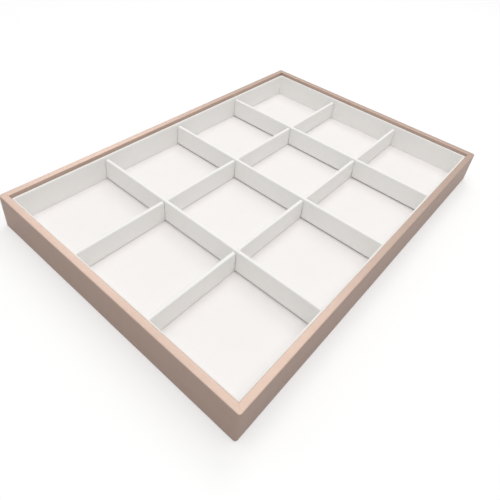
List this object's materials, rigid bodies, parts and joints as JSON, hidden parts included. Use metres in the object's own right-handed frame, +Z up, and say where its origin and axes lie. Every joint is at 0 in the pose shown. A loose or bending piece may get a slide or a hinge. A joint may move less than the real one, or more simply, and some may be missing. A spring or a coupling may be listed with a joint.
{
  "type": "jewellery tray",
  "caption": "Shallow rectangular jewellery tray with a leatherette frame, white lined floor and walls, and a lift-out slotted divider grid that makes equal open compartments.",
  "frame": {"origin": "centre of the underside, where the tray rests", "axes": "+X along the length, +Y to the back, +Z up out of the compartments"},
  "size_m": [0.35, 0.24, 0.03],
  "materials": {
    "beige_leatherette": "satin rose-beige leatherette with a very fine grain",
    "white_covering": "matte white leatherette",
    "white_floor_covering": "matte white leatherette",
    "frame_fibreboard": "raw medium density fibreboard",
    "base_hardboard": "raw thin fibreboard",
    "grey_board": "raw grey board",
    "underside_flock": "matte flocked sheet"
  },
  "bodies": {
    "tray": {"rail_front": "frame_fibreboard", "rail_back": "frame_fibreboard", "rail_left": "frame_fibreboard", "rail_right": "frame_fibreboard", "frame_wrap": "beige_leatherette", "base_board": "base_hardboard", "underside_sheet": "underside_flock", "liner_board_front": "grey_board", "liner_board_back": "grey_board", "liner_board_left": "grey_board", "liner_board_right": "grey_board", "liner_cover_front": "white_covering", "liner_cover_back": "white_covering", "liner_cover_left": "white_covering", "liner_cover_right": "white_covering", "floor_board": "grey_board", "floor_cover": "white_floor_covering"},
    "long_dividers": {"long_divider_board_front": "grey_board", "long_divider_cover_front": "white_covering", "long_divider_board_back": "grey_board", "long_divider_cover_back": "white_covering"},
    "cross_divider_left": {"cross_divider_board_left": "grey_board", "cross_divider_cover_left": "white_covering"},
    "cross_divider_middle": {"cross_divider_board_middle": "grey_board", "cross_divider_cover_middle": "white_covering"},
    "cross_divider_right": {"cross_divider_board_right": "grey_board", "cross_divider_cover_right": "white_covering"}
  },
  "joints": [
    {"name": "grid_lift", "type": "slide", "parent": "tray", "child": "long_dividers", "axis": [0, 0, 1], "range_m": [0, 0.06]},
    {"name": "cross_divider_left_lift", "type": "slide", "parent": "long_dividers", "child": "cross_divider_left", "axis": [0, 0, 1], "range_m": [0, 0.04]},
    {"name": "cross_divider_middle_lift", "type": "slide", "parent": "long_dividers", "child": "cross_divider_middle", "axis": [0, 0, 1], "range_m": [0, 0.04]},
    {"name": "cross_divider_right_lift", "type": "slide", "parent": "long_dividers", "child": "cross_divider_right", "axis": [0, 0, 1], "range_m": [0, 0.04]}
  ]
}
